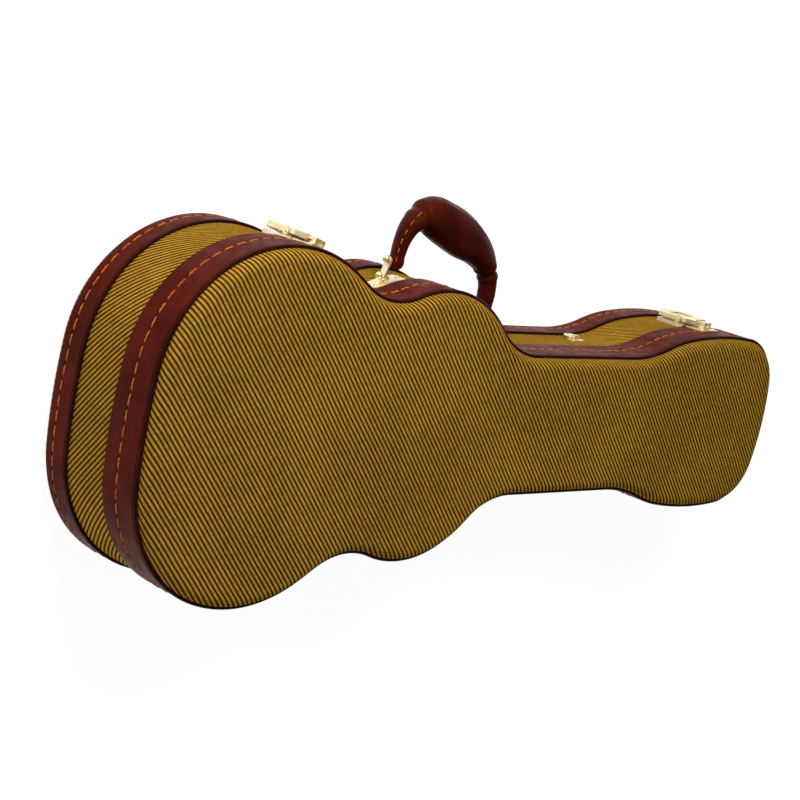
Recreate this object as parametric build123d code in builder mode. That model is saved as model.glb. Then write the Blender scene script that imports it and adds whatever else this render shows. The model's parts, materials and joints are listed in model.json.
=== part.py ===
from build123d import *
import os
from math import atan2, cos, degrees, radians, sin

os.makedirs("parts", exist_ok=True)

# A small guitar-shaped carrying case, lying flat on its back with the lid up.
# +X runs from the tail to the headstock, +Y to the handle side, +Z up.
# The origin is the middle of the back face.  Millimetres throughout.

# ---- driving dimensions -------------------------------------------------------
TAIL_X = -330.0              # the tail end; the whole case is 660 long
# One half of the outline, from the middle of the tail to the headstock, as tangent pieces:
# (radius, turn in degrees), a positive turn bulging outwards and a negative one inwards,
# or (length, 0) for a straight stretch.  A last arc closes the headstock end on the axis.
HALF_OUTLINE = (
    (414.0, 5.0),            # tail end
    (91.5, 61.5),            # lower bout
    (106.0, 25.2),
    (105.3, 30.3),
    (14.1, 0),
    (55.8, -52.6),           # waist
    (84.4, 35.1),            # upper bout
    (88.0, 29.2),
    (4.5, 0),
    (61.5, -43.8),           # shoulder into neck
    (113.6, 0),              # neck
    (125.7, -19.5),          # headstock flare
    (5.1, 0),
    (135.9, 11.1),
    (322.6, 14.5),
    (43.8, 72.6),            # headstock corner
)

BACK_EDGE_TOP = 8.0          # the back's rounded edge ends here
BACK_BAND_TOP = 28.0         # leatherette band round the back
WELT_TOP = 30.0              # rolled welt on that band
SEAM = 69.0                  # the lid parts from the body here
SEAM_GAP = 0.15              # half of the gap between lid and body
LID_BAND_TOP = 101.0         # leatherette band round the lid
PIPING_TOP = 104.0           # piping between band and face
FACE_TOP = 110.0             # the lid's face, which is the whole depth

EDGE_RADIUS = 7.9            # rounded edge of face and back
BAND = 2.0                   # bands stand this proud of the tweed
SKIN = 1.0                   # tweed cloth
PLY = 5.0                    # plywood walls
SHELL_INSET = BAND + SKIN    # outside of the plywood
CAVITY_INSET = SHELL_INSET + PLY
PLUSH_INSET = CAVITY_INSET + 6.0
PLUSH_FIT = 0.3              # loose pieces stand this clear of the plush walls
BODY_PLUSH_FLOOR = 11.0
BODY_PLUSH_TOP = 60.0
LIP_TOP = 72.5               # locating lip that reaches up into the lid
LIP_FIT = 0.6
LID_PLUSH_BOTTOM = 75.0
LID_PLUSH_ROOF = 99.0
BACK_PANEL_TOP = 5.5
LID_PANEL_BOTTOM = 104.5

HINGE_OFFSET = 3.4           # hinge axis outside the line that touches both bouts
HINGE_SLOPE = 5.6            # that line's angle to the case's axis, in degrees
HINGE_XS = {"tail_hinge": -221.4, "head_hinge": 270.0}
HINGE_WIDTH = 26.0
KNUCKLE_RADIUS = 2.4
HINGE_PIN_RADIUS = 1.15

LATCH_XS = {"tail_latch": -200.0, "head_latch": 249.0}
LATCH_WIDTH = 22.0

HANDLE_Z = 61.3              # close under the lid
HANDLE_AXIS_POINT = (-115.6, 96.8)
HANDLE_AXIS_SLOPE = -17.6    # degrees, down towards the headstock

# Padded handle: centre line (x, y) and its half thickness and half width there.
HANDLE_STATIONS = (
    (-102.2, 101.7, 2.6, 3.0),
    (-101.9, 103.5, 4.2, 4.8),
    (-101.4, 112.0, 4.8, 5.7),
    (-98.8, 124.8, 5.7, 6.9),
    (-91.9, 135.7, 7.5, 9.3),
    (-80.0, 140.8, 13.0, 12.0),
    (-60.3, 136.1, 15.8, 13.6),
    (-39.5, 127.8, 15.6, 13.4),
    (-22.7, 119.4, 12.0, 11.9),
    (-10.4, 109.0, 8.5, 9.1),
    (-3.4, 96.2, 6.3, 7.5),
    (-2.6, 82.3, 5.8, 6.9),
    (-4.2, 72.5, 4.9, 5.7),
    (-4.6, 70.1, 3.0, 3.4),
)

STRAP_RING_X = 130.0
STRAP_RING_Z = 46.0

# ---- shared shapes ------------------------------------------------------------
def half_outline(inset):
    """The half outline moved inwards by inset, as a list of edges from tail to head."""
    edges = []
    point = Vector(TAIL_X + inset, 0)
    heading = Vector(0, 1)
    for size, turn in HALF_OUTLINE:
        if turn == 0:
            edge = Line(point, point + heading * size, mode=Mode.PRIVATE)
        else:
            radius = size - inset if turn > 0 else size + inset
            edge = JernArc(point, heading, radius, -turn, mode=Mode.PRIVATE)
        edges.append(edge)
        point, heading = edge @ 1, edge % 1
    closing_turn = 90 + degrees(atan2(heading.Y, heading.X))
    edges.append(JernArc(point, heading, point.Y / heading.X, -closing_turn, mode=Mode.PRIVATE))
    return edges


def outline(inset):
    """The whole outline moved inwards by inset, as a flat face at z = 0."""
    with BuildSketch() as area:
        with BuildLine():
            for edge in half_outline(inset):
                add(edge)
            mirror(about=Plane.XZ)
        make_face()
    return area.sketch


def ring(outer, inner, low, high):
    """A band round the case between two insets and two heights."""
    with BuildPart() as band:
        with BuildSketch(Plane.XY.offset(low)):
            add(outline(outer))
            add(outline(inner), mode=Mode.SUBTRACT)
        extrude(amount=high - low)
    return band.part


def slab(inset, low, high, radius, end):
    """A filled outline between two heights, rounded at its top (end = 1) or bottom (end = -1)."""
    with BuildPart() as block:
        with BuildSketch(Plane.XY.offset(low)):
            add(outline(inset))
        extrude(amount=high - low)
        if radius:
            rounded = block.faces().sort_by(Axis.Z)[-1 if end > 0 else 0]
            fillet(rounded.edges(), radius)
    return block.part


def rim_frame(x, inset, side, height):
    """A plane on the rim at x: local x along the rim, local y up, local z straight out."""
    edges = half_outline(inset)
    edge = next(e for e in edges if (e @ 0).X <= x <= (e @ 1).X)
    low, high = 0.0, 1.0
    for _ in range(40):
        middle = (low + high) / 2
        if (edge @ middle).X < x:
            low = middle
        else:
            high = middle
    point, along = edge @ low, edge % low
    out = Vector(-along.Y, along.X * side, 0)
    return Plane((point.X, point.Y * side, height), x_dir=Vector(0, 0, 1).cross(out), z_dir=out)


def across(plane, shift=0.0):
    """The plane square to the rim at such a frame: local x up, local y out, normal along the rim."""
    return Plane(plane.origin + plane.x_dir * shift, x_dir=plane.y_dir, z_dir=plane.x_dir)


def ball_pin(foot, direction, length, radius, ball, balls_at):
    """A round pin from foot along direction, with ball heads that far along it."""
    with BuildPart() as pin:
        with BuildSketch(Plane(foot, x_dir=direction, z_dir=direction.cross(Vector(0, 0, 1)))):
            with Locations((length / 2, 0)):
                Rectangle(length, 2 * radius)
            for place in balls_at:
                with Locations((place, 0)):
                    Circle(ball)
            with Locations((length / 2, ball)):
                Rectangle(length + 4 * ball, 2 * ball, mode=Mode.INTERSECT)
        revolve(axis=Axis(foot, direction))
    return pin.part


def save(part, name):
    """Labels a finished piece and writes it."""
    part.label = name
    export_step(part, f"parts/{name}.step")


# ---- body shell ---------------------------------------------------------------
with BuildPart() as body_tweed_back:
    add(slab(BAND, 0, BACK_EDGE_TOP, EDGE_RADIUS, -1))
    add(slab(SHELL_INSET, SKIN, BACK_EDGE_TOP, EDGE_RADIUS - SKIN, -1), mode=Mode.SUBTRACT)
save(body_tweed_back.part, "body_tweed_back")

with BuildPart() as body_tweed_rim:
    add(ring(BAND, SHELL_INSET, BACK_EDGE_TOP, SEAM - SEAM_GAP))
save(body_tweed_rim.part, "body_tweed_rim")

with BuildPart() as body_shell:
    add(slab(SHELL_INSET, SKIN, SEAM - SEAM_GAP, EDGE_RADIUS - SKIN, -1))
    add(slab(CAVITY_INSET, BACK_PANEL_TOP, SEAM, 0, 1), mode=Mode.SUBTRACT)
save(body_shell.part, "body_shell")

with BuildPart() as body_binding:
    add(ring(0, BAND, BACK_EDGE_TOP, BACK_BAND_TOP))
save(body_binding.part, "body_binding")

with BuildPart() as body_welt:
    add(ring(-0.2, BAND, BACK_BAND_TOP, WELT_TOP))
save(body_welt.part, "body_welt")

with BuildPart() as body_lip:
    add(ring(CAVITY_INSET, CAVITY_INSET + 2.5, BODY_PLUSH_TOP, SEAM - SEAM_GAP))
    add(ring(CAVITY_INSET + LIP_FIT, CAVITY_INSET + 2.5, SEAM - SEAM_GAP, LIP_TOP))
save(body_lip.part, "body_lip")

with BuildPart() as body_lining:
    add(slab(CAVITY_INSET, BACK_PANEL_TOP, BODY_PLUSH_TOP, 0, 1))
    add(slab(PLUSH_INSET, BODY_PLUSH_FLOOR, BODY_PLUSH_TOP, 0, 1), mode=Mode.SUBTRACT)
save(body_lining.part, "body_lining")

# ---- lid ----------------------------------------------------------------------
with BuildPart() as lid_tweed_face:
    add(slab(BAND, LID_BAND_TOP, FACE_TOP, EDGE_RADIUS, 1))
    add(slab(SHELL_INSET, LID_BAND_TOP, FACE_TOP - SKIN, EDGE_RADIUS - SKIN, 1), mode=Mode.SUBTRACT)
save(lid_tweed_face.part, "lid_tweed_face")

with BuildPart() as lid_shell:
    add(slab(SHELL_INSET, SEAM + SEAM_GAP, FACE_TOP - SKIN, EDGE_RADIUS - SKIN, 1))
    add(slab(CAVITY_INSET, SEAM, LID_PANEL_BOTTOM, 0, 1), mode=Mode.SUBTRACT)
save(lid_shell.part, "lid_shell")

with BuildPart() as lid_binding:
    add(ring(0, SHELL_INSET, SEAM + SEAM_GAP, LID_BAND_TOP))
save(lid_binding.part, "lid_binding")

with BuildPart() as lid_piping:
    add(ring(-0.3, BAND, LID_BAND_TOP, PIPING_TOP))
save(lid_piping.part, "lid_piping")

with BuildPart() as lid_lining:
    add(slab(CAVITY_INSET, LID_PLUSH_BOTTOM, LID_PANEL_BOTTOM, 0, 1))
    add(slab(PLUSH_INSET, LID_PLUSH_BOTTOM, LID_PLUSH_ROOF, 0, 1), mode=Mode.SUBTRACT)
save(lid_lining.part, "lid_lining")

# ---- fittings inside the body --------------------------------------------------
CRADLE_X = 80.0
CRADLE_LENGTH = 26.0
CRADLE_TOP = 42.0
NECK_SLOT = (44.0, 20.0)     # width and depth of the notch for the instrument's neck

with BuildPart() as neck_cradle:
    add(slab(PLUSH_INSET + PLUSH_FIT, BODY_PLUSH_FLOOR, CRADLE_TOP, 0, 1))
    with BuildSketch(Plane.XY):
        with Locations((CRADLE_X, 0)):
            Rectangle(CRADLE_LENGTH, 200)
    extrude(amount=CRADLE_TOP, mode=Mode.INTERSECT)
    with BuildSketch(Plane.YZ.offset(CRADLE_X - CRADLE_LENGTH)):
        with Locations((0, CRADLE_TOP)):
            RectangleRounded(NECK_SLOT[0], 2 * NECK_SLOT[1], 8)
    extrude(amount=2 * CRADLE_LENGTH, mode=Mode.SUBTRACT)
save(neck_cradle.part, "neck_cradle")

BOX_X = 158.0                # middle of the accessory box under the neck
BOX_LENGTH = 116.0
BOX_WIDTH = 75.0
BOX_TOP = 46.0
BOX_WALL = 3.0
SHELF_EDGE_Y = -12.0
FLAP_THICKNESS = 3.0
FLAP_LIFT = 0.3              # the flap rests this far above the box
FLAP_AXIS_Y = -9.7           # the flap turns about the middle of its rounded rear edge
FLAP_AXIS_Z = BOX_TOP + FLAP_LIFT + FLAP_THICKNESS / 2
FLAP_FRONT_Y = BOX_WIDTH / 2 - 0.4

with BuildPart() as accessory_box:
    with BuildSketch(Plane.XY.offset(BODY_PLUSH_FLOOR)):
        with Locations((BOX_X, 0)):
            Rectangle(BOX_LENGTH, BOX_WIDTH)
    extrude(amount=BOX_TOP - BODY_PLUSH_FLOOR)
    with BuildSketch(Plane.XY.offset(BODY_PLUSH_FLOOR + BOX_WALL)):
        with Locations((BOX_X, 0)):
            Rectangle(BOX_LENGTH - 2 * BOX_WALL, BOX_WIDTH - 2 * BOX_WALL)
    extrude(amount=BOX_TOP - BODY_PLUSH_FLOOR, mode=Mode.SUBTRACT)
    # the fixed shelf behind the flap
    with BuildSketch(Plane.XY.offset(BOX_TOP - BOX_WALL)):
        with Locations((BOX_X, (SHELF_EDGE_Y - BOX_WIDTH / 2) / 2)):
            Rectangle(BOX_LENGTH, SHELF_EDGE_Y + BOX_WIDTH / 2)
    extrude(amount=BOX_WALL)
save(accessory_box.part, "accessory_box")

with BuildPart() as accessory_flap:
    with BuildSketch(Plane.YZ.offset(BOX_X - BOX_LENGTH / 2)):
        with Locations((FLAP_AXIS_Y, FLAP_AXIS_Z)):
            Circle(FLAP_THICKNESS / 2)
        with Locations(((FLAP_AXIS_Y + FLAP_FRONT_Y) / 2, FLAP_AXIS_Z)):
            Rectangle(FLAP_FRONT_Y - FLAP_AXIS_Y, FLAP_THICKNESS)
    extrude(amount=BOX_LENGTH)
save(accessory_flap.part, "accessory_flap")

with BuildPart() as accessory_flap_tab:
    with BuildSketch(Plane.XY.offset(BOX_TOP + FLAP_LIFT + FLAP_THICKNESS)):
        with Locations((BOX_X, BOX_WIDTH / 2 - 9)):
            RectangleRounded(14, 17, 4)
    extrude(amount=1.4)
save(accessory_flap_tab.part, "accessory_flap_tab")

# ---- rivets, shared by hinges, latches and handle plates ------------------------
RIVET_LIFT = 0.03            # keeps a flat rivet foot out of a hollow plate
body_rivets = []
lid_rivets = []


def rivet(x, inset, side, height, radius=1.7, rise=0.9):
    """A domed rivet head standing on the rim at x and that height, at the inset of its plate."""
    plane = rim_frame(x, inset, side, height)
    with BuildPart() as head:
        with BuildSketch(plane.offset(RIVET_LIFT)):
            Circle(radius)
        extrude(amount=rise)
        fillet(head.faces().sort_by(Axis(plane.origin, plane.z_dir))[-1].edges(), rise * 0.8)
    return head.part


def rim_plate(plane, out_inset, in_inset, u, low, high, width):
    """A thin plate bent to the rim, cut to a rounded rectangle of a rim frame."""
    with BuildPart() as plate:
        add(ring(out_inset, in_inset, plane.origin.Z + low, plane.origin.Z + high))
        with BuildSketch(plane):
            with Locations((u, (low + high) / 2)):
                RectangleRounded(width, high - low, 2.0)
        extrude(amount=14, both=True, mode=Mode.INTERSECT)
    return plate.part


# ---- hinges of the lid ----------------------------------------------------------
hinge_along = Vector(cos(radians(HINGE_SLOPE)), sin(radians(HINGE_SLOPE)), 0)
hinge_out = Vector(sin(radians(HINGE_SLOPE)), -cos(radians(HINGE_SLOPE)), 0)
HINGE_TOUCH = Vector(-221.4, -120.3, SEAM)     # where the line touches the lower bout
HINGE_PLATE = 1.0
KNUCKLES = 5
KNUCKLE_GAP = 0.2


def make_hinge(name, x):
    """One brass butt hinge: a leaf on the body, a leaf on the lid and its pin."""
    middle = HINGE_TOUCH + hinge_along * ((x - HINGE_TOUCH.X) / hinge_along.X)
    frame = Plane(middle, x_dir=hinge_along, z_dir=hinge_out)
    pitch = HINGE_WIDTH / KNUCKLES
    rim = rim_frame(x, BAND, -1, SEAM)
    lid_rim = rim_frame(x, 0, -1, SEAM)
    leaves = {
        "body_leaf": (-1, rim_plate(rim, -HINGE_PLATE, BAND, 0, -22, -2.7, HINGE_WIDTH)),
        "lid_leaf": (1, rim_plate(lid_rim, -HINGE_PLATE, 0, 0, 2.7, 22, HINGE_WIDTH)),
    }
    walls = {
        "body_leaf": slab(BAND, 0, SEAM, 0, 1),
        "lid_leaf": slab(0, SEAM, FACE_TOP, 0, 1),
    }
    for number, (leaf, (side, plate)) in enumerate(leaves.items()):
        with BuildPart() as piece:
            add(plate)
            for k in range(number, KNUCKLES, 2):
                start = -HINGE_WIDTH / 2 + k * pitch + KNUCKLE_GAP / 2
                section = Plane(middle + hinge_along * start, x_dir=hinge_out, z_dir=hinge_out.cross(Vector(0, 0, 1)))
                with BuildSketch(section):
                    with BuildLine():
                        Polyline(
                            (-0.5, side * 2.7),
                            (-0.5, side * 5.5),
                            (0.8, side * 5.5),
                            (HINGE_OFFSET + 1.7, side * 1.7),
                            (HINGE_OFFSET, 0),
                            (1.2, side * 1.0),
                            close=True,
                        )
                    make_face()
                    with Locations((HINGE_OFFSET, 0)):
                        Circle(KNUCKLE_RADIUS)
                extrude(amount=-(pitch - KNUCKLE_GAP))
            with BuildSketch(Plane(middle, x_dir=hinge_out, z_dir=hinge_out.cross(Vector(0, 0, 1)))):
                with Locations((HINGE_OFFSET, 0)):
                    Circle(HINGE_PIN_RADIUS + 0.05)
            extrude(amount=HINGE_WIDTH, both=True, mode=Mode.SUBTRACT)
            add(walls[leaf], mode=Mode.SUBTRACT)
        save(piece.part, f"{name}_{leaf}")
    pin_length = HINGE_WIDTH + 2.4
    foot = middle + hinge_out * HINGE_OFFSET - hinge_along * (pin_length / 2)
    save(ball_pin(foot, hinge_along, pin_length, HINGE_PIN_RADIUS, 1.8, (0, pin_length)), f"{name}_pin")
    for u in (-8, 8):
        body_rivets.append(rivet(x + u, -HINGE_PLATE, -1, SEAM - 14))
        lid_rivets.append(rivet(x + u, -HINGE_PLATE, -1, SEAM + 14))


for hinge_name, hinge_x in HINGE_XS.items():
    make_hinge(hinge_name, hinge_x)

# ---- latches ---------------------------------------------------------------------
# In a latch's own section, s runs up from the seam and n out from the tweed.
PIVOT = (-8.0, 5.6)          # the lever's pin, held by the base
HOOK_PIN = (-13.0, 4.9)      # the claw's pin, held by the lever
PIVOT_RADIUS = 1.0
HOOK_PIN_RADIUS = 0.9
PIN_FIT = 0.05
BASE_TOP = 3.0
LEVER_BOTTOM = 4.8
LEVER_TOP = 9.0
LEVER_REAR = -30.0
SLOT_REAR = -20.0
SLOT_HALF = 7.4
EAR_INNER = 5.6
EAR_THICKNESS = 1.4
CLAW_HALF = 5.0
CLAW_WIDE_REAR = -3.6
CLAW_WIDE_FRONT = 8.0
HOOK_FRONT = 15.6
HOOK_HALF = 4.5
CATCH_FRONT = 12.0


def make_latch(name, x):
    """One draw latch: base, lever and claw below the seam, catch plate above it."""
    rim = rim_frame(x, BAND, 1, SEAM)
    lid_rim = rim_frame(x, 0, 1, SEAM)
    section = across(rim)
    half = LATCH_WIDTH / 2

    with BuildPart() as base:
        add(rim_plate(rim, BAND - BASE_TOP, BAND, 0, -29, -1, LATCH_WIDTH))
        for start in (EAR_INNER, -EAR_INNER - EAR_THICKNESS):
            with BuildSketch(section.offset(start)):
                with Locations(PIVOT):
                    Circle(2.6)
                with Locations((PIVOT[0], (PIVOT[1] + BASE_TOP) / 2 - 0.3)):
                    Rectangle(5.2, PIVOT[1] - BASE_TOP + 0.6)
            extrude(amount=EAR_THICKNESS)
        with BuildSketch(section):
            with Locations(PIVOT):
                Circle(PIVOT_RADIUS)
        extrude(amount=half, both=True, mode=Mode.SUBTRACT)
    save(base.part, f"{name}_base")

    with BuildPart() as pivot_pin:
        with BuildSketch(section):
            with Locations(PIVOT):
                Circle(PIVOT_RADIUS)
        extrude(amount=half, both=True)
    save(pivot_pin.part, f"{name}_pivot_pin")

    with BuildPart() as lever:
        with BuildSketch(rim.offset(LEVER_BOTTOM)):
            with Locations((0, (LEVER_REAR + PIVOT[0]) / 2)):
                RectangleRounded(LATCH_WIDTH - 1.2, PIVOT[0] - LEVER_REAR, 5.0)
            with Locations((0, (LEVER_REAR + 8 + PIVOT[0]) / 2)):
                Rectangle(LATCH_WIDTH - 1.2, PIVOT[0] - LEVER_REAR - 8)
        extrude(amount=LEVER_TOP - LEVER_BOTTOM)
        fillet(lever.faces().sort_by(Axis(rim.origin, rim.z_dir))[-1].edges(), 1.2)
        with BuildSketch(section):
            with Locations(PIVOT):
                Circle(2.7)
        extrude(amount=half - 0.6, both=True)
        with BuildSketch(rim):
            with Locations((0, (SLOT_REAR + 2) / 2)):
                Rectangle(2 * SLOT_HALF, 2 - SLOT_REAR)
        extrude(amount=15, mode=Mode.SUBTRACT)
        with BuildSketch(section):
            with Locations(PIVOT):
                Circle(PIVOT_RADIUS + PIN_FIT)
            with Locations(HOOK_PIN):
                Circle(HOOK_PIN_RADIUS)
        extrude(amount=half, both=True, mode=Mode.SUBTRACT)
    save(lever.part, f"{name}_lever")

    with BuildPart() as hook_pin:
        with BuildSketch(section):
            with Locations(HOOK_PIN):
                Circle(HOOK_PIN_RADIUS)
        extrude(amount=half - 0.8, both=True)
    save(hook_pin.part, f"{name}_claw_pin")

    with BuildPart() as claw:
        with BuildSketch(section):
            with BuildLine():
                Polyline(
                    (SLOT_REAR + 1, 6.8),
                    (SLOT_REAR + 1, 7.8),
                    (CLAW_WIDE_REAR + 1, 7.8),
                    (CLAW_WIDE_REAR + 1, 6.8),
                    (HOOK_PIN[0] + 1.7, 6.8),
                    (HOOK_PIN[0] + 1.7, HOOK_PIN[1]),
                    (HOOK_PIN[0] - 1.7, HOOK_PIN[1]),
                    (HOOK_PIN[0] - 1.7, 6.8),
                    close=True,
                )
            make_face()
            with Locations(HOOK_PIN):
                Circle(1.7)
        extrude(amount=CLAW_HALF, both=True)
        with BuildSketch(section):
            with Locations(HOOK_PIN):
                Circle(HOOK_PIN_RADIUS + PIN_FIT)
        extrude(amount=half, both=True, mode=Mode.SUBTRACT)
        # the wide middle, which narrows to the hook
        with BuildSketch(rim.offset(LEVER_BOTTOM)):
            with BuildLine():
                Polyline(
                    (-half + 0.6, CLAW_WIDE_REAR),
                    (half - 0.6, CLAW_WIDE_REAR),
                    (half - 0.6, 0.5),
                    (6.6, CLAW_WIDE_FRONT),
                    (-6.6, CLAW_WIDE_FRONT),
                    (-half + 0.6, 0.5),
                    close=True,
                )
            make_face()
        extrude(amount=LEVER_TOP - LEVER_BOTTOM)
        fillet(claw.faces().sort_by(Axis(rim.origin, rim.z_dir))[-1].edges(), 1.0)
        # the hook, which bears on the front of the catch
        with BuildSketch(section):
            with BuildLine():
                Polyline(
                    (CLAW_WIDE_FRONT - 1, 6.2),
                    (CLAW_WIDE_FRONT - 1, 8.2),
                    (HOOK_FRONT, 8.2),
                    (HOOK_FRONT, 3.5),
                    (CATCH_FRONT + 0.3, 3.5),
                    (CATCH_FRONT + 0.3, 6.2),
                    close=True,
                )
            make_face()
        extrude(amount=HOOK_HALF, both=True)
        with BuildSketch(Plane(rim.origin + rim.y_dir * HOOK_FRONT, x_dir=rim.x_dir, z_dir=rim.y_dir)):
            with Locations((0, -5.9)):
                Rectangle(2 * HOOK_HALF - 2.4, 3.2)
        extrude(amount=-2.0, mode=Mode.SUBTRACT)
    save(claw.part, f"{name}_claw")

    with BuildPart() as catch:
        add(rim_plate(lid_rim, -1.0, 0, 0, 1, 20, LATCH_WIDTH))
        with BuildSketch(section):
            with Locations((CATCH_FRONT - 1.2, 4.0)):
                Rectangle(2.4, 3.2)
        extrude(amount=3.2, both=True)
    save(catch.part, f"{name}_catch")

    for u in (-7.5, 7.5):
        body_rivets.append(rivet(x + u, BAND - BASE_TOP, 1, SEAM - 25))
        lid_rivets.append(rivet(x + u, -1.0, 1, SEAM + 16.5, 1.6, 0.8))


for latch_name, latch_x in LATCH_XS.items():
    make_latch(latch_name, latch_x)

# ---- carrying handle ---------------------------------------------------------------
MOUNT_PLATE = 1.4
MOUNT_LENGTH = 30.0
MOUNT_WIDTH = 14.0
KNUCKLE = 2.6                # radius round the lower pin
LOWER_PIN = 1.3
UPPER_PIN = 1.5
LINK_RISE = 12.5             # from the lower pin to the upper one
LINK_WIDTH = 5.2
LINK_THICKNESS = 1.6
BALL_REACH = 3.2             # from the link out to its pins' ball heads
axis_direction = Vector(cos(radians(HANDLE_AXIS_SLOPE)), sin(radians(HANDLE_AXIS_SLOPE)), 0)
axis_origin = Vector(HANDLE_AXIS_POINT[0], HANDLE_AXIS_POINT[1], HANDLE_Z)
axis_rise = Vector(0, 0, 1).cross(axis_direction)      # across the axis, away from the case


def axis_plane(x):
    """A plane square to the handle's axis: local x away from the case, normal along the axis."""
    point = axis_origin + axis_direction * ((x - axis_origin.X) / axis_direction.X)
    return Plane(point, x_dir=axis_rise, z_dir=axis_direction)


# name: rim position, side the link is on, knuckle from, knuckle to, link at, pin end in the leather
handle_ends = {
    "tail": (-109.3, -1, -111.2, -107.8, -112.4, -102.6),
    "head": (-2.4, 1, -5.0, 0.5, 3.4, -2.6),
}
upper_pins = []
for end, (rim_x, side, knuckle_from, knuckle_to, link_x, leather_x) in handle_ends.items():
    rim = rim_frame(rim_x, BAND, 1, HANDLE_Z)
    with BuildPart() as mount_plate:
        add(rim_plate(rim, BAND - MOUNT_PLATE, BAND, 0, -MOUNT_WIDTH / 2, MOUNT_WIDTH / 2, MOUNT_LENGTH))
        base_point = axis_plane(knuckle_from)
        length = (knuckle_to - knuckle_from) / axis_direction.X
        with BuildSketch(base_point):
            Circle(KNUCKLE)
            with Locations((-1.25 * KNUCKLE, 0)):
                Rectangle(2.5 * KNUCKLE, 2 * KNUCKLE)
        extrude(amount=length)
        add(slab(BAND, WELT_TOP, SEAM, 0, 1), mode=Mode.SUBTRACT)
        with BuildSketch(base_point.offset(-MOUNT_WIDTH)):
            Circle(LOWER_PIN)
        extrude(amount=length + 2 * MOUNT_WIDTH, mode=Mode.SUBTRACT)
    save(mount_plate.part, f"handle_plate_{end}")

    ball_x = link_x + side * BALL_REACH
    far_x = knuckle_to if side < 0 else knuckle_from
    pins = (("lower", 0.0, LOWER_PIN, 2.5, far_x), ("upper", LINK_RISE, UPPER_PIN, 2.6, leather_x))
    for pin_name, rise, radius, ball, pin_end in pins:
        foot = axis_plane(ball_x).origin + axis_rise * rise
        direction = axis_direction * -side
        pin_part = ball_pin(foot, direction, abs(pin_end - ball_x) / axis_direction.X, radius, ball, (0,))
        save(pin_part, f"handle_{pin_name}_pin_{end}")
    upper_pins.append(pin_part)

    with BuildPart() as link:
        with BuildSketch(axis_plane(link_x - LINK_THICKNESS / 2)):
            with Locations((LINK_RISE / 2, 0)):
                SlotOverall(LINK_RISE + LINK_WIDTH, LINK_WIDTH)
            Circle(LOWER_PIN + 0.05, mode=Mode.SUBTRACT)
            with Locations((LINK_RISE, 0)):
                Circle(UPPER_PIN, mode=Mode.SUBTRACT)
        extrude(amount=LINK_THICKNESS)
    save(link.part, f"handle_link_{end}")
    for u in (-11.5, 11.5):
        body_rivets.append(rivet(rim_x + u, BAND - MOUNT_PLATE, 1, HANDLE_Z, 1.8, 0.9))

with BuildPart() as handle_grip:
    for number, (x, y, thick, wide) in enumerate(HANDLE_STATIONS):
        before = HANDLE_STATIONS[max(number - 1, 0)]
        after = HANDLE_STATIONS[min(number + 1, len(HANDLE_STATIONS) - 1)]
        run = Vector(after[0] - before[0], after[1] - before[1], 0).normalized()
        with BuildSketch(Plane((x, y, HANDLE_Z), x_dir=Vector(-run.Y, run.X, 0), z_dir=run)):
            Ellipse(thick, wide)
    loft()
    for pin_solid in upper_pins:
        add(pin_solid, mode=Mode.SUBTRACT)
save(handle_grip.part, "handle_grip")

# ---- strap ring on the neck ----------------------------------------------------------
ring_rim = rim_frame(STRAP_RING_X, BAND, 1, STRAP_RING_Z)
ring_section = across(ring_rim)
EYE_OUT = 2.8                # the ring's pin line, out from the tweed
EYE_RADIUS = 2.0
RING_WIRE = 1.0
RING_SIDE = 4.8              # from its middle to the wire at either side, and the bow's radius
RING_DROP = 8.8
STRAP_PLATE = 1.2

with BuildPart() as strap_plate:
    add(rim_plate(ring_rim, BAND - STRAP_PLATE, BAND, 0, -2.4, 5.5, 14.0))
    with BuildSketch(ring_section):
        with Locations((0, EYE_OUT)):
            Circle(EYE_RADIUS)
        with Locations((0, EYE_OUT / 2)):
            Rectangle(2 * EYE_RADIUS, EYE_OUT)
        with Locations((0, EYE_OUT)):
            Circle(RING_WIRE + 0.08, mode=Mode.SUBTRACT)
    extrude(amount=2.4, both=True)
    add(slab(BAND, 20, 60, 0, 1), mode=Mode.SUBTRACT)
save(strap_plate.part, "strap_plate")

with BuildPart() as strap_ring:
    with BuildLine() as ring_path:
        bow = RING_SIDE - RING_DROP
        points = [
            ring_rim.from_local_coords(Vector(u, v, EYE_OUT))
            for u, v in ((-RING_SIDE, 0), (RING_SIDE, 0), (RING_SIDE, bow), (0, -RING_DROP), (-RING_SIDE, bow))
        ]
        Line(points[0], points[1])
        Line(points[1], points[2])
        ThreePointArc(points[2], points[3], points[4])
        Line(points[4], points[0])
    with BuildSketch(ring_section):
        with Locations((0, EYE_OUT)):
            Circle(RING_WIRE)
    sweep(path=ring_path.wires()[0], transition=Transition.ROUND)
save(strap_ring.part, "strap_ring")

for u in (-4.8, 4.8):
    body_rivets.append(rivet(STRAP_RING_X + u, BAND - STRAP_PLATE, 1, STRAP_RING_Z + 3.6, 1.1, 0.6))

# ---- rivet groups ----------------------------------------------------------------------
save(Compound(children=body_rivets), "body_rivets")
save(Compound(children=lid_rivets), "lid_rivets")
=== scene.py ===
import json
from math import cos, pi, radians, sin, tau

import bmesh
import bpy
import numpy as np
from mathutils import Matrix, Vector

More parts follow.
